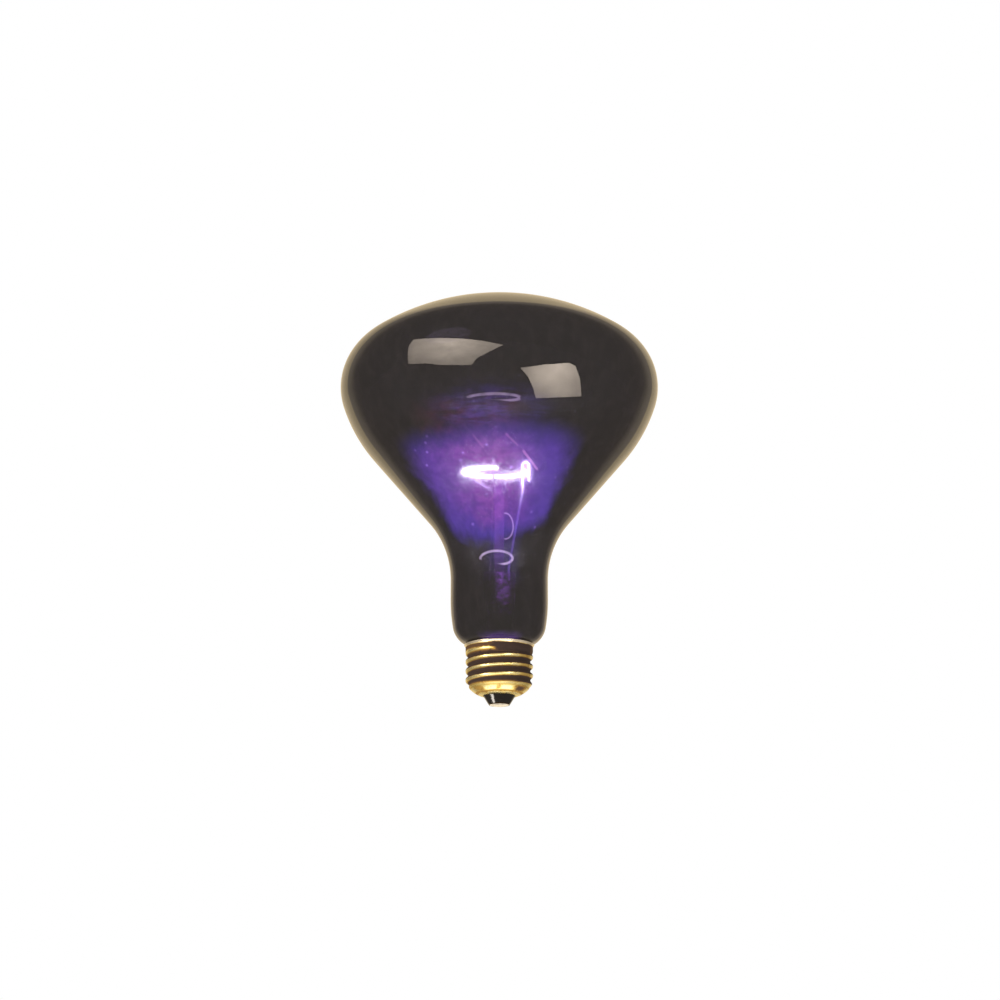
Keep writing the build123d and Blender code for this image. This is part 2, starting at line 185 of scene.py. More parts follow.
def add(tree, kind, *values, out=None, stops=(), **named):
    """Adds a node and gives its result, or the outputs that out names.

    A second word of the kind is its operation, and the values fill its live inputs in order. A name in
    small letters is a setting, and any other is an input. The stops are a ramp's places and colours.
    """
    kind, _, operation = kind.partition(" ")
    node = tree.nodes.new(kind if kind.startswith("GeometryNode") else "ShaderNode" + kind)
    settings = {name: value for name, value in named.items() if name.islower()}
    if operation:
        settings["interpolation_type" if kind == "MapRange" else "operation"] = operation
    for name, value in settings.items():
        setattr(node, name, value)
    for socket, value in zip([socket for socket in node.inputs if socket.enabled], values):
        fill(tree, socket, value)
    for name, value in named.items():
        if name not in settings:
            fill(tree, node.inputs[name.replace("_", " ")], value)
    if stops:
        elements = node.color_ramp.elements
        elements.remove(elements[1])
        elements[0].position, elements[0].color = stops[0][0], linear(stops[0][1])
        for position, code in stops[1:]:
            elements.new(position).color = linear(code)
    if out is None:
        return next((socket for socket in node.outputs if socket.enabled), None)
    return node.outputs[out] if isinstance(out, str) else [node.outputs[name] for name in out]


def joined(node, kind, first, *others):
    """Result of the same step over several values, one after another."""
    for other in others:
        first = node(kind, first, other)
    return first


def emptied(owner):
    """Clears the nodes of a material or world and gives the function that adds new ones."""
    owner.use_nodes = True
    owner.node_tree.nodes.clear()
    return partial(add, owner.node_tree)


def material(name):
    """Empty material, the function that adds its nodes, and its principled shader."""
    made = bpy.data.materials.new(name)
    node = emptied(made)
    shader = made.node_tree.nodes.new("ShaderNodeBsdfPrincipled")
    node("OutputMaterial", shader.outputs[0])
    return made, node, shader


def paint(shader, **values):
    """Sets the shader's sockets, by name with underscores for spaces."""
    for name, value in values.items():
        fill(shader.id_data, shader.inputs[name.replace("_", " ")], value)


def place(node):
    """Object coordinates in millimetres."""
    where = node("TexCoord", out="Object")
    return node("VectorMath SCALE", where, Scale=1000.0)


# Helpers that build and dress pieces


def keep(name, mesh, node, materials=()):
    """Object from a finished mesh, standing for a node of the frame."""
    made = bpy.data.objects.new(name, mesh)
    bpy.context.scene.collection.objects.link(made)
    for one in materials:
        mesh.materials.append(one)
    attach(made, "root")
    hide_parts(node)
    return made


def dress(names, made):
    """Gives nodes of the frame a finished material."""
    for name in names:
        for slot in NODES[name].material_slots:
            slot.material = made


def revolved(name, outline, segments, marks=None):
    """Mesh turned around the axis from a closed outline of (radius, height) that runs clockwise."""
    vertices, rings = [], []
    for radius, height in outline:
        if radius < 1e-7:
            rings.append([len(vertices)] * segments)
            vertices.append((0.0, 0.0, height))
        else:
            first = len(vertices)
            for step in range(segments):
                angle = 2 * math.pi * step / segments
                vertices.append((radius * math.cos(angle), radius * math.sin(angle), height))
            rings.append(list(range(first, first + segments)))
    faces, kinds = [], []
    for index, upper in enumerate(rings):
        lower = rings[(index + 1) % len(rings)]
        if upper[0] == upper[1] and lower[0] == lower[1]:
            continue
        for step in range(segments):
            after = (step + 1) % segments
            corners = [upper[step], lower[step], lower[after], upper[after]]
            faces.append(list(dict.fromkeys(corners)))
            kinds.append(marks[index] if marks else 0)
    mesh = bpy.data.meshes.new(name)
    mesh.from_pydata(vertices, [], faces)
    mesh.validate()
    mesh.polygons.foreach_set("material_index", kinds)
    mesh.shade_smooth()
    return mesh


def node_tree(name, floats):
    """Geometry tree with named inputs, its incoming values and the input that its geometry goes into."""
    tree = bpy.data.node_groups.new(name, "GeometryNodeTree")
    kinds = {"Geometry": "NodeSocketGeometry", "Points": "NodeSocketInt", "Material": "NodeSocketMaterial"}
    for label in ("Geometry", *floats, "Material"):
        tree.interface.new_socket(label, in_out="INPUT", socket_type=kinds.get(label, "NodeSocketFloat"))
    tree.interface.new_socket("Geometry", in_out="OUTPUT", socket_type="NodeSocketGeometry")
    return tree, tree.nodes.new("NodeGroupInput").outputs, tree.nodes.new("NodeGroupOutput").inputs[0]


def finish_tree(tree, made, coat, result):
    """Ends a geometry tree: shaded smooth, made real and given its material."""
    smooth = add(tree, "GeometryNodeSetShadeSmooth", made)
    real = add(tree, "GeometryNodeRealizeInstances", smooth)
    fill(tree, result, add(tree, "GeometryNodeSetMaterial", Geometry=real, Material=coat))
    return tree


def grown(name, mesh, tree, values):
    """Plain mesh that a geometry tree makes, with its inputs set by their identifiers."""
    carrier = bpy.data.objects.new(name + "_carrier", mesh)
    bpy.context.scene.collection.objects.link(carrier)
    modifier = carrier.modifiers.new("Geometry", "NODES")
    modifier.node_group = tree
    for item in tree.interface.items_tree:
        if item.item_type == "SOCKET" and item.in_out == "INPUT" and item.name in values:
            modifier[item.identifier] = values[item.name]
    depsgraph = bpy.context.evaluated_depsgraph_get()
    made = bpy.data.meshes.new_from_object(carrier.evaluated_get(depsgraph))
    made.name = name
    carrier.modifiers.remove(modifier)
    bpy.data.objects.remove(carrier)
    return made


# Marks and light that the materials share


def between(node, value, low, rise, fall, high):
    """Nought below low, one from rise to fall, nought above high."""
    return node(TIMES, node(SHARE, value, low, rise), node(SHARE, value, high, fall))


def toward(node, where, degrees, low, high):
    """Share by direction around the axis, where nought degrees is the front and turning goes to the right."""
    angle = math.radians(degrees)
    outward = node("VectorMath NORMALIZE", node(SCALED, where, (1.0, 1.0, 0.0)))
    turned = node("VectorMath DOT_PRODUCT", outward, (math.sin(angle), -math.cos(angle), 0.0))
    return node(SHARE, turned, math.cos(math.radians(low)), math.cos(math.radians(high)))


def scratch(node, where, start, end, width):
    """Mark of a straight scratch on the front, between two points given as (x, z)."""
    run = Vector((end[0] - start[0], 0.0, end[1] - start[1]))
    ahead, aside = run.normalized(), Vector((-run.z, 0.0, run.x)).normalized()
    origin = Vector((start[0], 0.0, start[1]))
    along = node("VectorMath DOT_PRODUCT", where, ahead)
    off = node("VectorMath DOT_PRODUCT", where, aside)
    off = node("Math ABSOLUTE", node(MINUS, off, origin.dot(aside)))
    first = origin.dot(ahead)
    last = first + run.length
    mark = between(node, along, first - 0.6, first + 0.6, last - 0.6, last + 0.6)
    return node(TIMES, mark, node(SHARE, off, width, width * 0.4))


def oval(node, where, middle, radii, width, bare):
    """Mark of an oval line about a middle (x, z); bare is the direction and half angle of its gap."""
    shrink = (1 / radii[0], 0.0, 1 / radii[1])
    shifted = node("VectorMath SUBTRACT", where, (middle[0], 0.0, middle[1]))
    scaled = node(SCALED, shifted, shrink)
    reach = node("VectorMath LENGTH", scaled)
    slope = node("VectorMath LENGTH", node(SCALED, scaled, shrink))
    away = node("Math ABSOLUTE", node(MINUS, reach, 1.0))
    away = node(TIMES, away, node("Math DIVIDE", reach, slope))
    line = node(SHARE, away, width, width * 0.3)
    angle, half = math.radians(bare[0]), math.radians(bare[1])
    turned = node("VectorMath DOT_PRODUCT", scaled, (math.cos(angle), 0.0, math.sin(angle)))
    gap = node(SHARE, turned, math.cos(half), math.cos(half) - 0.3)
    return node(TIMES, line, gap)


def glow(node, shader, strength, *lights):
    """Emission from pairs of a colour and its share; the strength is what a share of one gives."""
    scaled = [node("VectorMath SCALE", linear(code)[:3], Scale=share) for code, share in lights]
    paint(shader, Emission_Color=joined(node, "VectorMath ADD", *scaled), Emission_Strength=strength)


def painted_haze_glow(node, shader, where):
    """Painted violet glow of the coil in the bulb's inner face, with painted glints on scratches and specks.
    """
    across, depth, height = node("SeparateXYZ", where, out=("X", "Y", "Z"))
    square = node(MINUS, 1.0, node("LayerWeight", Blend=0.5, out="Facing"))
    upright = node(SCALED, where, (1.0, 1.0, 0.45))
    streaks = node("TexNoise", upright, Scale=1 / 8.0, Detail=5.0, Roughness=0.62, Distortion=0.5)
    mottle = node("TexNoise", where, Scale=1 / 3.4, Detail=4.0, Roughness=0.6, Distortion=0.3)
    drift = node(MINUS, streaks, 0.5)
    level = node(TIMES_PLUS, drift, 13.0, height)
    aside = node("Math ABSOLUTE", node(MINUS, across, 1.0))
    top = node(TIMES_PLUS, aside, 0.12, node(TIMES_PLUS, drift, 5.0, height))
    # The painted glow's veil narrows upwards, reaches further out on the left, and its foot is rounded
    waist = node(MINUS, height, 82.0)
    edge = node(TIMES_PLUS, waist, -0.0006, node(TIMES_PLUS, drift, 0.06, square))
    edge = node(TIMES_PLUS, across, -0.0006, edge)
    bottom = node(TIMES_PLUS, node(MINUS, square, 0.96), 60.0, level)
    bottom = node(TIMES_PLUS, across, -0.12, bottom)
    veil = node(TIMES, node(SHARE, bottom, 59.5, 68.5), node(SHARE, top, 106.5, 93.0))
    veil = node(TIMES, veil, node(SHARE, edge, 0.85, 0.905))
    # Faint painted glow in level streaks above the veil
    level_grain = node(SCALED, where, (0.22, 0.22, 1.3))
    bands = node("TexNoise", level_grain, Scale=1 / 2.6, Detail=3.0, Roughness=0.6, Distortion=0.5)
    wisps = joined(
        node,
        TIMES,
        between(node, level, 92.0, 98.0, 98.0, 116.0),
        node(SHARE, edge, 0.92, 0.99),
        node("MapRange", bands, 0.4, 0.64, 0.1, 1.0),
        node("MapRange", aside, 14.0, 34.0, 1.0, 0.12),
    )
    # Painted glow: a dim patch in the neck, and a red one at the veil's upper left
    foot = node(TIMES, between(node, level, 42.0, 60.0, 64.0, 70.0), node(SHARE, edge, 0.96, 1.0))
    foot = node(TIMES, foot, node(SHARE, across, -8.0, 0.0))
    red_glow = node(TIMES, between(node, level, 94.0, 100.0, 104.0, 112.0), node(SHARE, edge, 0.9, 0.97))
    red_glow = node(TIMES, red_glow, node("MapRange", mottle, 0.35, 0.65, 0.2, 1.0))
    red_glow = node(TIMES, red_glow, node(SHARE, across, 16.0, -2.0))
    violet = node(LARGEST, veil, node(LARGEST, wisps, node(TIMES, foot, 0.3)))
    violet = node(TIMES, violet, node("MapRange", mottle, 0.3, 0.7, 1.25, 1.65))
    # Warmer painted glow beside the coil's left, in blotches
    lobe = node("Math POWER", node("Math DIVIDE", square, 0.96), 18.0)
    warm = node(TIMES, between(node, level, 64.0, 80.0, 90.0, 99.5), lobe)
    warm = node(TIMES, warm, node("MapRange", mottle, 0.3, 0.66, 0.5, 1.1))
    warm = node(TIMES, warm, node(TIMES, veil, node("MapRange", across, 0.0, 18.0, 1.0, 0.25)))
    # Painted light on the front wall only: glints on three scratches, a painted reflection of the coil's hook
    # beside the arbor, and the coil's two painted mirror images, a flat oval above it and an open one in the
    # neck
    front = node(SHARE, depth, 0.0, -5.0)
    lines = scratch(node, where, (9.0, 91.6), (14.6, 85.8), 0.6)
    lines = node(TIMES_PLUS, scratch(node, where, (2.4, 96.8), (6.9, 93.2), 0.5), 0.5, lines)
    lines = node(TIMES_PLUS, scratch(node, where, (-10.0, 96.6), (-6.0, 92.4), 0.5), 0.3, lines)
    lines = node(TIMES, lines, front)
    hook_reflection = node(TIMES, oval(node, where, (2.3, 66.4), (3.0, 4.6), 0.4, (180, 74)), front)
    upper = node(TIMES, oval(node, where, (-2.1, 108.3), (9.4, 1.2), 0.7, (235, 50)), 0.5)
    coil_reflections = node(LARGEST, upper, oval(node, where, (-1.1, 54.6), (6.1, 2.7), 0.66, (236, 40)))
    coil_reflections = node(TIMES, node(TIMES, coil_reflections, node("MapRange", mottle, 0.3, 0.6, 0.5, 1.15)), front)
    # Painted glints on small bubbles and specks
    apart, tint = node("TexVoronoi", Vector=where, Scale=0.22, out=("Distance", "Color"))
    chance = node("SeparateColor", tint, out="Red")
    specks = node(TIMES, node(SHARE, apart, 0.2, 0.06), node(SHARE, chance, 0.5, 1.0))
    specks = node(TIMES, specks, node(LARGEST, veil, node(TIMES, wisps, 0.8)))
    # A faint painted sheen in uneven patches over the inner face
    wiped = node(SCALED, where, (1.0, 1.0, 0.4))
    film = node("TexNoise", wiped, Scale=1 / 3.0, Detail=6.0, Roughness=0.7, Distortion=0.6)
    lights = (
        ("#7e5cff", node(TIMES, violet, 0.52)),
        ("#ff6c90", node(TIMES_PLUS, red_glow, 0.13, node(TIMES, warm, 0.56))),
        ("#c49cff", specks),
        ("#ff9cd0", node(TIMES, lines, 0.65)),
        ("#ecc8ff", node(TIMES, hook_reflection, 0.95)),
        ("#f6e2f8", node(TIMES, coil_reflections, 1.2)),
        ("#c8b8a0", node(TIMES, node(SHARE, film, 0.42, 0.72), 0.05)),
    )
    glow(node, shader, 2.0, *lights)


# Materials


def violet_glass(inside):
    """Blown violet filter glass: nearly black, glossy, and it lets a little violet light through."""
    made, node, shader = material("violet_filter_glass_" + ("inside" if inside else "outside"))
    paint(shader, Base_Color=linear("#302a38"), Roughness=0.0, IOR=1.58, Transmission_Weight=1.0)
    where = place(node)
    depth, height = node("SeparateXYZ", where, out=("Y", "Z"))
    if inside:
        painted_haze_glow(node, shader, where)
        # Fine grain of dust around the coil that spreads its light a little
        grain = node(SHARE, node("TexNoise", where, Scale=1 / 0.1, Detail=0.0, Roughness=0.55), 0.45, 0.52)
        dust = node(TIMES, grain, between(node, height, 56.0, 86.0, 96.0, 106.0))
        # The far side is duller in the dome and the neck, so the coil's mirror images there stay soft
        dome = node(TIMES, node(SHARE, height, 106.0, 120.0), node(SHARE, depth, 15.0, 35.0))
        neck = node(TIMES, node(SHARE, height, 78.0, 70.0), node(SHARE, depth, 0.0, 6.0))
        soft = node(TIMES_PLUS, node(LARGEST, dome, neck), 0.3, 0.045)
        paint(shader, Roughness=node(TIMES_PLUS, dust, 0.2, soft))
    else:
        # Painted light: violet glow that leaks out where the bulb enters the shell, and a faint painted sheen
        # in the throat
        lobe = node(LARGEST, toward(node, where, 2, 40, 8), toward(node, where, 176, 40, 8))
        leak = node(TIMES, between(node, height, 20.0, 22.8, 23.6, 27.2), lobe)
        patch = node("TexNoise", where, Scale=1 / 3.0, Detail=3.0, Roughness=0.55)
        leak = node(TIMES, leak, node("MapRange", patch, 0.3, 0.65, 0.08, 0.18))
        throat = node(TIMES, between(node, height, 20.0, 22.0, 24.2, 26.0), 0.035)
        glow(node, shader, 1.0, ("#a46cff", leak), ("#c8b8a0", throat))
    return made


def mount_glass():
    """Clear drawn lead glass of the stem, with the slight ripple that the flame leaves."""
    made, node, shader = material("clear_lead_glass")
    where = place(node)
    ripple = node("TexNoise", where, Scale=1 / 2.6, Detail=2.0, Roughness=0.55)
    paint(shader, Base_Color=linear("#eef1ea"), Roughness=0.03, IOR=1.55, Transmission_Weight=1.0)
    paint(shader, Normal=node("Bump", Height=ripple, Distance=0.3 * MM, Strength=0.5))
    # Painted glow: the coil's light running down inside the glass and showing at its edges, bubbles and
    # ripples
    across, height = node("SeparateXYZ", where, out=("X", "Z"))
    flat = node(SCALED, where, (0.5, 0.5, 1.5))
    folds = node("TexNoise", flat, Scale=1 / 3.4, Detail=3.0, Roughness=0.6, Distortion=1.2)
    caught = node(SHARE, folds, 0.46, 0.6)
    edges = node(SHARE, node("LayerWeight", Blend=0.5, out="Facing"), 0.3, 0.9)
    middle = between(node, across, -2.5, 1.0, 2.8, 5.4)
    press = node(TIMES, between(node, height, 39.5, 45.5, 52.5, 54.0), middle)
    press = node(TIMES, press, node("MapRange", caught, 0.0, 1.0, 0.02, 0.3))
    upper = node("MapRange", height, 50.0, 68.0, 0.3, 1.0)
    upper = node(TIMES, upper, node(SHARE, height, 50.0, 56.0))
    arbor = node(TIMES, upper, node("MapRange", edges, 0.0, 1.0, 0.14, 0.34))
    arbor = node(TIMES_PLUS, node(TIMES, caught, node(SHARE, height, 54.0, 60.0)), 0.1, arbor)
    glow(node, shader, 9.0, ("#c880f8", node("Math ADD", press, arbor)))
    return made


def lit_tungsten():
    """Drawn tungsten wire at white heat, which overpowers every shade of its own colour."""
    made, _, shader = material("lit_tungsten_wire")
    paint(shader, Base_Color=linear("#8c8c90"), Metallic=1.0, Roughness=0.4)
    paint(shader, Emission_Color=linear("#ecffe1"), Emission_Strength=1500.0)
    return made


def drawn_wire(name, colour, dark, roughness, metallic=1.0, lit=0.0):
    """Drawn wire: fine draw lines along it and a duller film in patches; it may carry a painted glow near the
    coil.
    """
    made, node, shader = material(name)
    where = place(node)
    film = node("TexNoise", where, Scale=1 / 1.4, Detail=4.0, Roughness=0.55)
    paint(shader, Base_Color=node("ValToRGB", film, stops=[(0.35, dark), (0.6, colour)]))
    drawn = node(SCALED, where, (1.0, 1.0, 0.08))
    lines = node("TexNoise", drawn, Scale=1 / 0.12, Detail=2.0, Roughness=0.55)
    paint(shader, Metallic=metallic, Normal=node("Bump", Height=lines, Distance=0.02 * MM, Strength=0.6))
    paint(shader, Roughness=node("MapRange", film, 0.0, 1.0, roughness + 0.12, roughness - 0.05))
    if lit:
        # Painted glow of the coil's light, white close under it and faint violet lower down
        height = node("SeparateXYZ", where, out="Z")
        near = node("Math POWER", node("MapRange", height, 50.0, 90.0), 14.0)
        lower = node(TIMES, node(SHARE, height, 44.0, 56.0), 0.035)
        glow(node, shader, lit, ("#f0e8ff", near), ("#a888ff", lower))
    return made


def rolled_brass():
    """Rolled brass sheet: bright just under the crests, brown film and painted shade elsewhere, and film in
    blotches.
    """
    made, node, shader = material("rolled_brass_sheet")
    where = place(node)
    turned = node("Attribute", attribute_name="thread_turn", out="Vector")
    cosine, sine = node("SeparateXYZ", turned, out=("X", "Y"))
    side = node("Math DIVIDE", node("Math ARCTAN2", sine, cosine), 2 * math.pi)
    share = node("Attribute", attribute_name="thread_share", out="Fac")
    blotch = node("TexNoise", where, Scale=1 / 3.2, Detail=5.0, Roughness=0.65, Distortion=0.8)
    specks = node("TexNoise", where, Scale=1 / 0.7, Detail=3.0, Roughness=0.55)
    drift = node(MINUS, blotch, 0.5)
    height = node("SeparateXYZ", where, out="Z")
    # Film and painted shade on the upper sides and in the roots, with an uneven edge
    edge = node(TIMES_PLUS, drift, 0.12, side)
    film = node(LARGEST, node(SHARE, edge, -0.04, 0.08), node(SHARE, edge, -0.18, -0.4))
    film = node(TIMES, film, share)
    # The plain collar is brown film and painted shade, darkest at the front's right, but for a painted
    # highlight on a last stretch of thread
    level = node(TIMES_PLUS, drift, 1.2, height)
    collar = between(node, level, 18.9, 19.6, 22.7, 23.1)
    runout_highlight = node(TIMES, between(node, level, 19.1, 19.9, 20.7, 21.6), toward(node, where, -60, 60, 44))
    collar_film_and_shade = node(TIMES_PLUS, toward(node, where, 28, 46, 34), 0.24, 0.7)
    collar_film_and_shade = node(TIMES, collar_film_and_shade, node(MINUS, 1.0, runout_highlight))
    film = node(LARGEST, film, node(TIMES, collar, collar_film_and_shade))
    # Darker patches in a band around the cup, in given directions
    shaken = node("TexNoise", Vector=where, Scale=0.35, Detail=4.0, out="Color")
    shaken = node("VectorMath MULTIPLY_ADD", shaken, (4, 4, 4), where)
    ring = between(node, node(TIMES_PLUS, drift, 3.0, height), 4.0, 5.2, 6.0, 7.4)
    spots = ((66, 22, 2, 0.72), (-50, 26, 2, 0.38), (12, 8, 1, 0.26), (170, 70, 4, 0.6))
    spots = [node(TIMES, toward(node, shaken, *way), depth) for *way, depth in spots]
    film = node(LARGEST, film, node(TIMES, ring, joined(node, LARGEST, *spots)))
    # Painted shade on the thread towards the front's right
    film = node(TIMES_PLUS, node(TIMES, toward(node, shaken, 64, 18, 6), share), 0.28, film)
    # Two dark painted shade lines around the cup, with no groove under them
    wavy = node(TIMES_PLUS, drift, 0.6, height)
    groove = node(TIMES, between(node, wavy, 4.2, 4.5, 4.7, 5.1), 0.42)
    groove = node(LARGEST, groove, node(TIMES, between(node, wavy, 6.1, 6.4, 6.6, 7.1), 0.24))
    film = node(LARGEST, film, groove)
    film = node("Math ADD", film, node(TIMES, node(SHARE, blotch, 0.5, 0.72), 0.25))
    film = node("Math ADD", film, node(TIMES, node(SHARE, specks, 0.6, 0.75), 0.1))
    stops = [(0.0, "#fff2b4"), (0.15, "#fae490"), (0.4, "#ba9448"), (0.7, "#543a24"), (0.95, "#30211c")]
    brass = node("ValToRGB", film, stops=stops)
    # Painted highlight: a pale band along the lip, bare of film
    lip = between(node, height, 22.9, 23.3, 24.5, 25.0)
    paint(shader, Base_Color=node("Mix", lip, brass, linear("#fff4dc"), data_type="RGBA"))
    film = node(TIMES, film, node(MINUS, 1.0, lip))
    paint(shader, Metallic=node("MapRange", film, 0.3, 0.85, 1.0, 0.05))
    paint(shader, Roughness=node("MapRange", film, 0.0, 0.9, 0.27, 0.85))
    lines = node("TexNoise", node(SCALED, where, (0.3, 0.3, 3.0)), Scale=1 / 0.5, Detail=3.0, Roughness=0.55)
    paint(shader, Normal=node("Bump", Height=lines, Distance=0.02 * MM, Strength=0.5))
    return made


def black_base_glass():
    """Moulded black base glass: deep black and glossy, with faint flow ripples."""
    made, node, shader = material("moulded_black_glass")
    where = place(node)
    ripple = node("TexNoise", where, Scale=1 / 1.8, Detail=3.0, Roughness=0.55)
    fleck = node("TexNoise", where, Scale=1 / 0.5, Detail=4.0, Roughness=0.55)
    paint(shader, Base_Color=node("ValToRGB", fleck, stops=[(0.55, "#0a0807"), (0.75, "#1e1a17")]))
    paint(shader, Roughness=0.09, IOR=1.42)
    paint(shader, Normal=node("Bump", Height=ripple, Distance=0.08 * MM, Strength=0.6))
    return made


def contact_brass():
    """Pressed brass eyelet, dulled by flux around the solder."""
    made, node, shader = material("pressed_contact_brass")
    where = place(node)
    film = node("TexNoise", where, Scale=1 / 0.9, Detail=4.0, Roughness=0.55)
    paint(shader, Base_Color=node("ValToRGB", film, stops=[(0.35, "#2c2018"), (0.6, "#6a5234")]))
    paint(shader, Metallic=1.0, Roughness=0.35)
    paint(shader, Normal=node("Bump", Height=film, Distance=0.03 * MM, Strength=0.5))
    return made


def tin_lead_solder():
    """Tin and lead solder: soft silver with frosted grain and a few flux stains."""
    made, node, shader = material("tin_lead_solder")
    where = place(node)
    grain = node("TexNoise", where, Scale=1 / 0.35, Detail=4.0, Roughness=0.55)
    stain = node("TexNoise", where, Scale=1 / 1.6, Detail=3.0, Roughness=0.55)
    paint(shader, Base_Color=node("ValToRGB", stain, stops=[(0.3, "#c4beb2"), (0.55, "#f4f2ec")]))
    paint(shader, Metallic=1.0, Roughness=node("MapRange", grain, 0.0, 1.0, 0.22, 0.45))
    paint(shader, Normal=node("Bump", Height=grain, Distance=0.05 * MM, Strength=0.5))
    return made


def basing_cement():
    """Baked resin and marble cement: matt tan with a gritty surface."""
    made, node, shader = material("baked_basing_cement")
    where = place(node)
    grit = node("TexNoise", where, Scale=1 / 0.4, Detail=5.0, Roughness=0.55)
    paint(shader, Base_Color=node("ValToRGB", grit, stops=[(0.3, "#6e5c48"), (0.7, "#a8957c")]))
    paint(shader, Roughness=0.85, Normal=node("Bump", Height=grit, Distance=0.12 * MM, Strength=0.8))
    return made


# Pieces


def bulb_walk(bulb):
    """The bulb's outline as (radius, turn) of each bend and (length, 0) of each straight."""
    centre = bulb.bulb_radius - bulb.shoulder
    shoulder_start = math.acos(centre / (bulb.face - bulb.shoulder))
    shoulder_z = bulb.overall - bulb.face + (bulb.face - bulb.shoulder) * math.sin(shoulder_start)
    flank_r = centre + (bulb.shoulder - bulb.flank) * math.cos(bulb.flank_start)
    flank_z = shoulder_z + (bulb.shoulder - bulb.flank) * math.sin(bulb.flank_start)
    slope = bulb.cone_slope
    cone_top = flank_r + bulb.flank * math.cos(slope)
    cone_top_z = flank_z - bulb.flank * math.sin(slope)
    cone_foot = bulb.neck + bulb.neck_blend * (1 - math.cos(slope))
    cone_run = (cone_top - cone_foot) / math.sin(slope)
    neck_top = cone_top_z - cone_run * math.cos(slope) - bulb.neck_blend * math.sin(slope)
    heel_end = bulb.heel_soft_turn + bulb.heel_turn
    soft_step = bulb.heel_soft - bulb.heel
    heel_r = bulb.neck - bulb.heel_soft + soft_step * math.cos(bulb.heel_soft_turn)
    heel_z = bulb.heel_height - soft_step * math.sin(bulb.heel_soft_turn)
    throat_top = heel_z - (bulb.heel + bulb.throat) * math.sin(heel_end)
    throat_r = heel_r + (bulb.heel + bulb.throat) * math.cos(heel_end) - bulb.throat
    seal_turn = math.acos(1 - (throat_r - bulb.seal) / (2 * bulb.seal_blend))
    seal_top = throat_top - bulb.throat_run - 2 * bulb.seal_blend * math.sin(seal_turn)
    return (
        (bulb.face, shoulder_start - math.pi / 2),
        (bulb.shoulder, bulb.flank_start - shoulder_start),
        (bulb.flank, -slope - bulb.flank_start),
        (cone_run, 0),
        (bulb.neck_blend, slope),
        (neck_top - bulb.heel_height, 0),
        (bulb.heel_soft, -bulb.heel_soft_turn),
        (bulb.heel, -bulb.heel_turn),
        (bulb.throat, heel_end),
        (bulb.throat_run, 0),
        (bulb.seal_blend, -seal_turn),
        (bulb.seal_blend, seal_turn),
        (seal_top - bulb.seal_bottom, 0),
    )


def bulb_line(bulb, inset):
    """Points (radius, height) down the bulb's wall, moved inwards by the inset."""
    point = Vector((0.0, bulb.overall - inset))
    heading = 0.0
    points = [tuple(point)]
    for size, swing in bulb_walk(bulb):
        along = Vector((math.cos(heading), math.sin(heading)))
        if swing == 0:
            steps = max(1, round(size / STRAIGHT_STEP))
            points += [tuple(point + along * size * step / steps) for step in range(1, steps + 1)]
        else:
            side = 1 if swing > 0 else -1
            radius = size + side * inset
            centre = point + Vector((-along.y, along.x)) * side * radius
            steps = max(4, round(abs(swing) / BEND_STEP))
            for step in range(1, steps + 1):
                angle = heading + swing * step / steps
                spot = centre + Vector((math.sin(angle), -math.cos(angle))) * radius * side
                points.append(tuple(spot))
        point = Vector(points[-1])
        heading += swing
    return points


class LAMP_OT_bulb(bpy.types.Operator):
    """Blow the violet glass bulb"""

    bl_idname = "lamp.bulb"
    bl_label = "Bulb"

    def execute(self, context):
        bulb = context.scene.lamp_bulb
        outer = bulb_line(bulb, 0.0)
        inner = bulb_line(bulb, bulb.wall)
        middle = (Vector(outer[-1]) + Vector(inner[-1])) / 2 - Vector((0, bulb.wall / 2))
        outline = outer + [tuple(middle)] + inner[::-1]
        # The frame's own bulb is faceted, so this one is drawn in to the same width
        low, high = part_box("glass_envelope")
        share = min(-low.x, -low.y, high.x, high.y) / bulb.bulb_radius
        outline = [(radius * share, height) for radius, height in outline]
        marks = [0] * len(outer) + [1] * (len(outline) - len(outer))
        mesh = revolved("violet_bulb", outline, bulb.segments, marks)
        glass = [violet_glass(False), violet_glass(True)]
        keep("violet_bulb", mesh, "glass_envelope", glass)
        return {"FINISHED"}


COIL_INPUTS = ("Ring Radius", "Ring Offset", "Ring Height", "Ring Tilt", "Start Angle", "End Angle")
COIL_INPUTS += ("Winding Radius", "Wire Radius", "Turns", "Points")


def coil_tree():
    """Wire wound along an open ring."""
    tree, given, result = node_tree("wound_coil", COIL_INPUTS)
    node = partial(add, tree)
    line = node("GeometryNodeCurvePrimitiveLine")
    line = node("GeometryNodeResampleCurve", mode="COUNT", Curve=line, Count=given["Points"])
    share = node("GeometryNodeSplineParameter", out="Factor")
    swing = node(MINUS, given["End Angle"], given["Start Angle"])
    around = node(TIMES_PLUS, share, swing, given["Start Angle"])
    winding = node(TIMES, node(TIMES, share, given["Turns"]), 2 * math.pi)
    out = node(TIMES, node("Math COSINE", winding), given["Winding Radius"])
    rise = node(TIMES, node("Math SINE", winding), given["Winding Radius"])
    reach = node("Math ADD", given["Ring Radius"], out)
    back = node(TIMES, node("Math SINE", around), reach)
    lift = node(TIMES_PLUS, node("Math SINE", given["Ring Tilt"]), back, given["Ring Height"])
    forward = node(TIMES_PLUS, node("Math COSINE", around), reach, given["Ring Offset"])
    aback = node(TIMES, back, node("Math COSINE", given["Ring Tilt"]))
    spot = node("CombineXYZ", forward, aback, node("Math ADD", lift, rise))
    path = node("GeometryNodeSetPosition", Geometry=line, Position=spot)
    round_wire = node("GeometryNodeCurvePrimitiveCircle", Resolution=WIRE_SIDES, Radius=given["Wire Radius"])
    wound = node("GeometryNodeCurveToMesh", Curve=path, Profile_Curve=round_wire, Fill_Caps=True)
    return finish_tree(tree, wound, given["Material"], result)


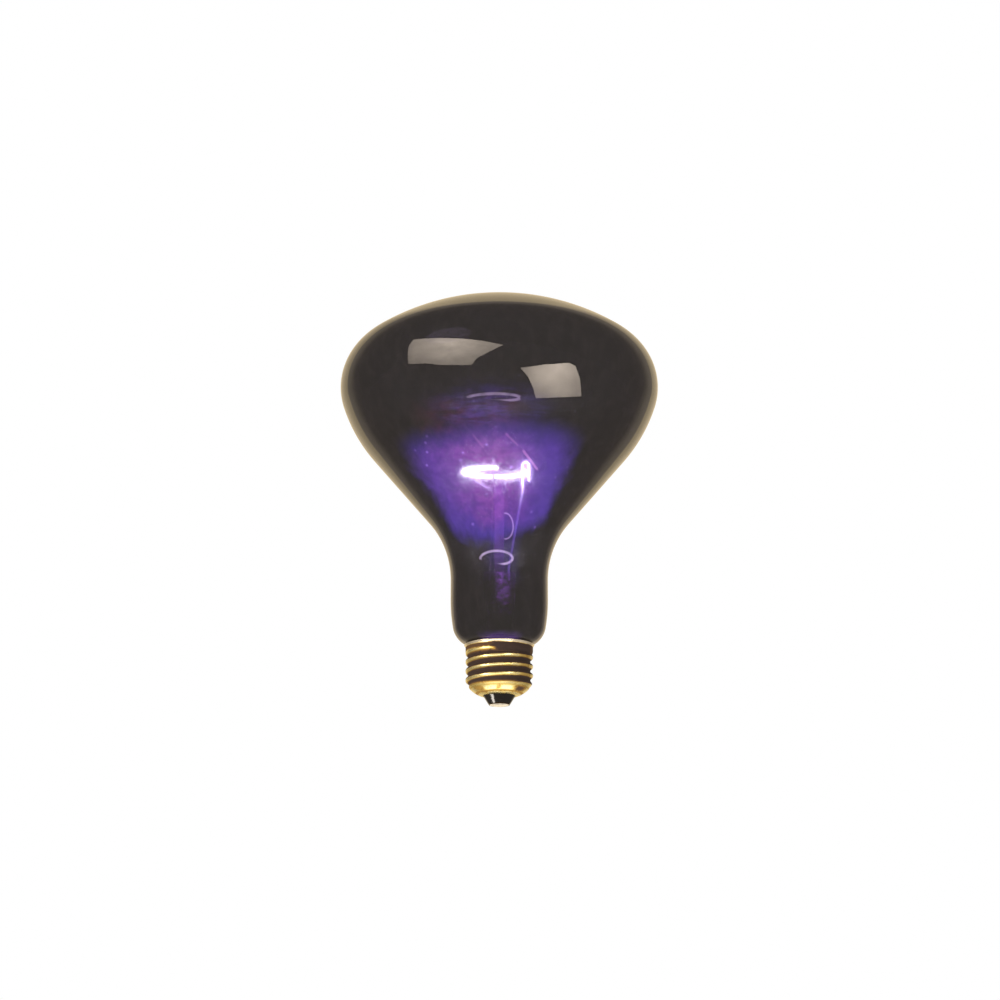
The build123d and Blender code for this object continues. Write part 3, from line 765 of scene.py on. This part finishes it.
class LAMP_OT_coil(bpy.types.Operator):
    """Wind the tungsten coil"""

    bl_idname = "lamp.coil"
    bl_label = "Coil"

    def execute(self, context):
        coil = context.scene.lamp_coil
        leg = coil.leg / coil.ring
        swing = coil.end - coil.start + 2 * leg
        turns = round(swing * coil.ring / coil.pitch)
        values = {
            "Ring Radius": coil.ring,
            "Ring Offset": coil.offset,
            "Ring Height": coil.height,
            "Ring Tilt": coil.tilt,
            "Start Angle": coil.start - leg,
            "End Angle": coil.end + leg,
            "Winding Radius": coil.coil - coil.wire,
            "Wire Radius": coil.wire,
            "Turns": float(turns),
            "Points": turns * POINTS_PER_TURN + 1,
            "Material": lit_tungsten(),
        }
        mesh = grown("tungsten_coil", bpy.data.meshes.new("coil_start"), coil_tree(), values)
        if not mesh.polygons:
            raise RuntimeError("the coil has no faces")
        keep("tungsten_coil", mesh, "filament")
        return {"FINISHED"}


THREAD_INPUTS = ("Pitch", "Depth", "Phase", "Start Low", "Start High", "End Low", "End High")


def thread_tree():
    """Rolls a thread of equal round crests and roots into a plain shell."""
    tree, given, result = node_tree("rolled_thread", THREAD_INPUTS)
    node = partial(add, tree)
    pitch, depth = given["Pitch"], given["Depth"]
    position = node("GeometryNodeInputPosition")
    across, deep, height = node("SeparateXYZ", position, out=("X", "Y", "Z"))
    angle = node("Math ARCTAN2", deep, across)
    along = node("Math DIVIDE", node(MINUS, height, given["Phase"]), pitch)
    offset = node(MINUS, along, node("Math DIVIDE", angle, 2 * math.pi))
    side = node(MINUS, offset, node("Math ROUND", offset))
    away = node(TIMES, node("Math ABSOLUTE", side), pitch)
    # Radius of the arcs that make crest and root
    pitch_part = node("Math DIVIDE", node(TIMES, pitch, pitch), 16.0)
    depth_part = node("Math DIVIDE", node(TIMES, depth, depth), 4.0)
    bend = node("Math DIVIDE", node("Math ADD", pitch_part, depth_part), depth)
    square = node(TIMES, bend, bend)
    back = node(MINUS, node(TIMES, pitch, 0.5), away)
    from_crest, from_root = [
        node("Math SQRT", node(MINUS, square, node(TIMES, run, run))) for run in (away, back)
    ]
    crest = node(MINUS, bend, from_crest)
    root = node("Math ADD", node(MINUS, depth, bend), from_root)
    near = node("Math LESS_THAN", away, node(TIMES, pitch, 0.25))
    groove = node("Mix", near, root, crest)
    started, ended = [
        node(SHARE, height, given[f"{end} Low"], given[f"{end} High"]) for end in ("Start", "End")
    ]
    share = node(TIMES, started, node(MINUS, 1.0, ended))
    drop = node(TIMES, groove, share)
    outward = node("VectorMath NORMALIZE", node(SCALED, position, (1.0, 1.0, 0.0)))
    inward = node("VectorMath SCALE", outward, Scale=node(TIMES, drop, -1.0))
    # Where each point lies on the thread, for the film and painted shade that darken its upper sides and
    # roots
    turned = node(TIMES, side, 2 * math.pi)
    turned = node("CombineXYZ", node("Math COSINE", turned), node("Math SINE", turned))
    marked = given["Geometry"]
    for name, kind, value in (("thread_turn", "FLOAT_VECTOR", turned), ("thread_share", "FLOAT", share)):
        settings = {"data_type": kind, "domain": "POINT"}
        marked = node("GeometryNodeStoreNamedAttribute", Geometry=marked, Name=name, Value=value, **settings)
    moved = node("GeometryNodeSetPosition", Geometry=marked, Offset=inward)
    return finish_tree(tree, moved, given["Material"], result)


def shell_outline(shell):
    """Plain outline of the shell, outer face from lip to opening and back up the inner face."""
    outer = []
    first = math.asin((shell.opening - shell.cup_out) / shell.cup)
    last = math.asin((shell.crest - shell.cup_out) / shell.cup)
    for step in range(CUP_STEPS):
        swing = first + (last - first) * step / CUP_STEPS
        outer.append(
            (shell.cup_out + shell.cup * math.sin(swing), shell.cup_up - shell.cup * math.cos(swing))
        )
    foot = shell.cup_up - shell.cup * math.cos(last)
    for step in range(WALL_STEPS + 1):
        outer.append((shell.crest, foot + (shell.lip_low - foot) * step / WALL_STEPS))
    for step in range(1, LIP_STEPS + 1):
        rise = (shell.top - shell.lip_low) * step / LIP_STEPS
        outer.append((shell.crest + shell.lip - math.sqrt(shell.lip**2 - rise**2), shell.lip_low + rise))
    inner = []
    for index, (radius, height) in enumerate(outer):
        before = Vector(outer[max(index - 1, 0)])
        after = Vector(outer[min(index + 1, len(outer) - 1)])
        run = (after - before).normalized()
        inner.append((radius - shell.sheet * run.y, height + shell.sheet * run.x))
    return outer[::-1] + inner


class LAMP_OT_shell(bpy.types.Operator):
    """Roll the brass screw shell"""

    bl_idname = "lamp.shell"
    bl_label = "Screw shell"

    def execute(self, context):
        shell = context.scene.lamp_shell
        plain = revolved("plain_shell", shell_outline(shell), shell.segments)
        values = {
            "Pitch": shell.pitch,
            "Depth": shell.depth,
            "Phase": shell.phase,
            "Start Low": shell.start_low,
            "Start High": shell.start_high,
            "End Low": shell.end_low,
            "End High": shell.end_high,
            "Material": rolled_brass(),
        }
        mesh = grown("rolled_shell", plain, thread_tree(), values)
        keep("rolled_shell", mesh, "screw_shell")
        return {"FINISHED"}


class LAMP_OT_mount(bpy.types.Operator):
    """Finish the glass mount"""

    bl_idname = "lamp.mount"
    bl_label = "Glass mount"

    def execute(self, context):
        dress(["stem_flare", "exhaust_tube", "arbor_rod"], mount_glass())
        return {"FINISHED"}


class LAMP_OT_wires(bpy.types.Operator):
    """Finish the leads and supports"""

    bl_idname = "lamp.wires"
    bl_label = "Wires"

    def execute(self, context):
        dress(["inner_lead_right"], drawn_wire("painted_glow_nickel_wire", "#d8d4cc", "#a8a298", 0.5, 0.25, 170.0))
        dress(["inner_lead_left"], drawn_wire("nickel_wire", "#d8d4cc", "#a8a298", 0.5, 0.25, 12.0))
        dress(
            ["seal_wire_right", "seal_wire_left"],
            drawn_wire("copper_clad_seal_wire", "#b8503c", "#7c2a20", 0.35),
        )
        dress(["outer_lead_centre", "outer_lead_side"], drawn_wire("copper_wire", "#c87a52", "#8c4c30", 0.3))
        supports = [f"support_wire_{number}" for number in (1, 2, 3)]
        dress(supports, drawn_wire("molybdenum_wire", "#a8a8ac", "#6c6c70", 0.4, 1.0, 40.0))
        return {"FINISHED"}


class LAMP_OT_foot(bpy.types.Operator):
    """Finish the insulator, contact, solder and cement"""

    bl_idname = "lamp.foot"
    bl_label = "Foot"

    def execute(self, context):
        dress(["insulator"], black_base_glass())
        dress(["centre_contact"], contact_brass())
        dress(["centre_solder", "side_solder"], tin_lead_solder())
        dress(["basing_cement"], basing_cement())
        return {"FINISHED"}


# Stage

# Rims of the two soft boxes in front of the dome, in millimetres, with their corners rounded
DOME_BOX_LEFT = [
    (-104, -81, 157), (-97, -80, 172), (-59, -121, 163), (-25, -137, 151), (5, -143, 136),
    (-24, -138, 104), (-36, -130, 89), (-74, -113, 95), (-108, -83, 111), (-108, -84, 132),
]
DOME_BOX_RIGHT = [
    (18, -96, 101), (38, -91, 106), (57, -81, 111), (61, -76, 110), (64, -68, 101),
    (64, -59, 90), (47, -71, 84), (30, -78, 80), (28, -84, 87), (24, -91, 95),
]


def aimed(name, data, spot, target):
    """Light or camera at a spot, turned to its target."""
    made = bpy.data.objects.new(name, data)
    made.location = spot
    made.rotation_euler = (Vector(target) - Vector(spot)).to_track_quat("-Z", "Y").to_euler()
    bpy.context.scene.collection.objects.link(made)
    return made


def shine_on(lamp, receivers):
    """Hides a lamp from the camera and lets it shine on its receivers alone."""
    lamp.visible_camera = False
    group = bpy.data.collections.new(lamp.name + "_receivers")
    for receiver in receivers:
        group.objects.link(receiver)
    lamp.light_linking.receiver_collection = group


def soft_box(name, rim, peak, reach, strength, receivers):
    """Cloth of a soft box inside a rim in millimetres, brightest at its peak; only its receivers show it."""
    middle = [sum(corner[axis] for corner in rim) / len(rim) for axis in range(3)]
    points = [tuple(value * MM for value in corner) for corner in [*rim, middle]]
    last = len(rim)
    mesh = bpy.data.meshes.new(name)
    mesh.from_pydata(points, [], [(index, (index + 1) % last, last) for index in range(last)])
    made = bpy.data.materials.new(name + "_cloth")
    node = emptied(made)
    where = place(node)
    away = node("VectorMath DISTANCE", where, peak)
    fall = node("MapRange", away, 0.1 * reach, reach, strength, 0.42 * strength)
    folds = node("TexNoise", where, Scale=1 / 18.0, Detail=4.0, Roughness=0.55)
    level = node(TIMES, fall, node("MapRange", folds, 0.3, 0.7, 0.86, 1.12))
    light = node("Emission", Color=linear("#ffeedc"), Strength=level)
    node("OutputMaterial", light)
    mesh.materials.append(made)
    box = bpy.data.objects.new(name, mesh)
    bpy.context.scene.collection.objects.link(box)
    box.visible_diffuse = False
    box.visible_shadow = False
    box.visible_transmission = False
    shine_on(box, receivers)


def light_panel(name, spot, size, strength, receivers):
    """Soft rectangular light that only its receivers see; strength is what a mirror shows."""
    lamp = bpy.data.lights.new(name, "AREA")
    lamp.shape = "RECTANGLE"
    lamp.size, lamp.size_y = size
    lamp.energy = strength * math.pi * size[0] * size[1]
    lamp.color = linear("#fff6ea")[:3]
    shine_on(aimed(name, lamp, spot, (0, 0, 0.012)), receivers)


def seen(node):
    """One for what the camera sees straight or through glass, nought for light and reflections."""
    return node(LARGEST, *node("LightPath", out=("Is Camera Ray", "Is Transmission Ray")))


def studio_world():
    """White to the eye; in reflections a warm card behind the lamp and softer walls around it."""
    world = bpy.data.worlds.new("studio")
    bpy.context.scene.world = world
    node = emptied(world)
    direction = node("TexCoord", out="Generated")
    along, across, up = [
        node("VectorMath DOT_PRODUCT", direction, axis)
        for axis in ((0.0, 0.9673, 0.2538), (1.0, 0.0, 0.0), (0.0, -0.2538, 0.9673))
    ]
    # Softer walls all round, dimmest just beside the card
    level = node("MapRange", along, -1.0, 1.0)
    stops = [(0.0, "#cdc3b8"), (0.4, "#c4bab0"), (0.72, "#988f84"), (0.79, "#8f8578"), (0.85, "#b4a792")]
    walls = node("ValToRGB", level, stops=stops)
    wide = node("Math DIVIDE", node("Math ADD", across, 0.02), 0.61)
    high = node("Math DIVIDE", up, 0.61)
    reach = node("Math SQRT", node("Math ADD", node(TIMES, wide, wide), node(TIMES, high, high)))
    card = node(TIMES, node(SHARE, reach, 1.03, 0.97), node("Math GREATER_THAN", along, 0.0))
    shown = node("Mix", card, walls, linear("#f0dab0"), data_type="RGBA")
    clear = seen(node)
    colour = node("Mix", clear, shown, (1.0, 1.0, 1.0, 1.0), data_type="RGBA")
    back = node("Background", Color=colour, Strength=1.0)
    node("OutputWorld", back)


def paper_floor(height):
    """Seamless pale paper, far below the hanging lamp."""
    size = 8.0
    corners = [(-size, -size, height), (size, -size, height), (size, size, height), (-size, size, height)]
    mesh = bpy.data.meshes.new("paper_floor")
    mesh.from_pydata(corners, [], [(0, 1, 2, 3)])
    made, node, shader = material("matt_white_paper")
    where = place(node)
    fibre = node("TexNoise", where, Scale=1 / 1.2, Detail=4.0, Roughness=0.55)
    paint(shader, Base_Color=node("ValToRGB", fibre, stops=[(0.3, "#f2f0ec"), (0.7, "#faf9f6")]))
    paint(shader, Roughness=0.9)
    # The sweep is lit from all round and fades into the white backdrop, so that it shows no edge
    away = node("VectorMath LENGTH", where)
    faded = node(TIMES, node(SHARE, away, 2200.0, 6500.0), seen(node))
    paint(shader, Emission_Color=linear("#eceff6"), Emission_Strength=node(TIMES_PLUS, faded, 0.6, 0.4))
    mesh.materials.append(made)
    floor = bpy.data.objects.new("paper_floor", mesh)
    floor.visible_glossy = False
    bpy.context.scene.collection.objects.link(floor)


class LAMP_OT_stage(bpy.types.Operator):
    """Set up floor, soft light and camera"""

    bl_idname = "lamp.stage"
    bl_label = "Stage"

    def execute(self, context):
        studio = context.scene.lamp_studio
        studio_world()
        paper_floor(studio.floor)
        key_light = bpy.data.lights.new("key_light", "AREA")
        key_light.shape = "DISK"
        key_light.size = 0.9
        key_light.energy = 22.0
        key = aimed("key_light", key_light, (-0.9, -1.1, 1.0), studio.aim)
        key.visible_glossy = False
        lens = bpy.data.cameras.new("camera")
        lens.lens = studio.lens
        lens.sensor_width = 36.0
        lens.shift_x = 0.0007
        lens.shift_y = 0.0029
        context.scene.camera = aimed("camera", lens, studio.camera, studio.aim)
        context.scene.view_settings.view_transform = "Standard"
        return {"FINISHED"}


class LAMP_OT_soft_boxes(bpy.types.Operator):
    """Set up the soft boxes that the bulb and the base reflect"""

    bl_idname = "lamp.soft_boxes"
    bl_label = "Soft boxes"

    def execute(self, context):
        bulb = [bpy.data.objects["violet_bulb"]]
        base = [bpy.data.objects["rolled_shell"]]
        base += [NODES[name] for name in ("centre_solder", "side_solder")]
        insulator = [NODES["insulator"]]
        # Two small boxes close to the dome, and two large ones far from the base
        soft_box("soft_box_dome_left", DOME_BOX_LEFT, (-52, -120, 152), 70.0, 7.6, bulb)
        soft_box("soft_box_dome_right", DOME_BOX_RIGHT, (46, -84, 106), 30.0, 9.6, bulb)
        light_panel("panel_base_left", (-0.78, -0.66, -0.2), (0.42, 1.1), 3.4, base)
        light_panel("panel_base_right", (0.55, -0.82, -0.26), (0.3, 0.8), 3.4, base)
        light_panel("panel_base_below", (-0.1, -0.66, -0.8), (1.2, 0.6), 1.3, base)
        light_panel("panel_base_under", (0.0, 0.2, -0.78), (0.8, 0.6), 1.6, base[:1])
        light_panel("panel_insulator", (-0.5, -0.08, -0.68), (0.5, 0.4), 22.0, insulator)
        light_panel("panel_solder", (0.0, 0.7, -0.42), (0.9, 0.8), 0.48, base[1:2])
        return {"FINISHED"}


class LAMP_PT_build(bpy.types.Panel):
    """Buttons and sizes of the lamp"""

    bl_label = "Reflector lamp"
    bl_idname = "LAMP_PT_build"
    bl_space_type = "VIEW_3D"
    bl_region_type = "UI"
    bl_category = "Lamp"

    def draw(self, context):
        column = self.layout.column(align=True)
        for operator in OPERATORS:
            column.operator(operator.bl_idname)
        for name in ("lamp_bulb", "lamp_coil", "lamp_shell", "lamp_studio"):
            group = getattr(context.scene, name)
            box = self.layout.box()
            for field in group.__annotations__:
                box.prop(group, field)


OPERATORS = (
    LAMP_OT_stage,
    LAMP_OT_bulb,
    LAMP_OT_coil,
    LAMP_OT_mount,
    LAMP_OT_wires,
    LAMP_OT_shell,
    LAMP_OT_foot,
    LAMP_OT_soft_boxes,
)
GROUPS = {
    "lamp_bulb": LampBulbSizes,
    "lamp_coil": LampCoilSizes,
    "lamp_shell": LampShellSizes,
    "lamp_studio": LampStudio,
}


def register():
    for name, group in GROUPS.items():
        bpy.utils.register_class(group)
        setattr(bpy.types.Scene, name, PointerProperty(type=group))
    for operator in OPERATORS:
        bpy.utils.register_class(operator)
    bpy.utils.register_class(LAMP_PT_build)


def unregister():
    bpy.utils.unregister_class(LAMP_PT_build)
    for operator in reversed(OPERATORS):
        bpy.utils.unregister_class(operator)
    for name, group in GROUPS.items():
        delattr(bpy.types.Scene, name)
        bpy.utils.unregister_class(group)


def main():
    register()
    for operator in OPERATORS:
        group, action = operator.bl_idname.split(".")
        getattr(getattr(bpy.ops, group), action)()


if __name__ == "__main__":
    main()
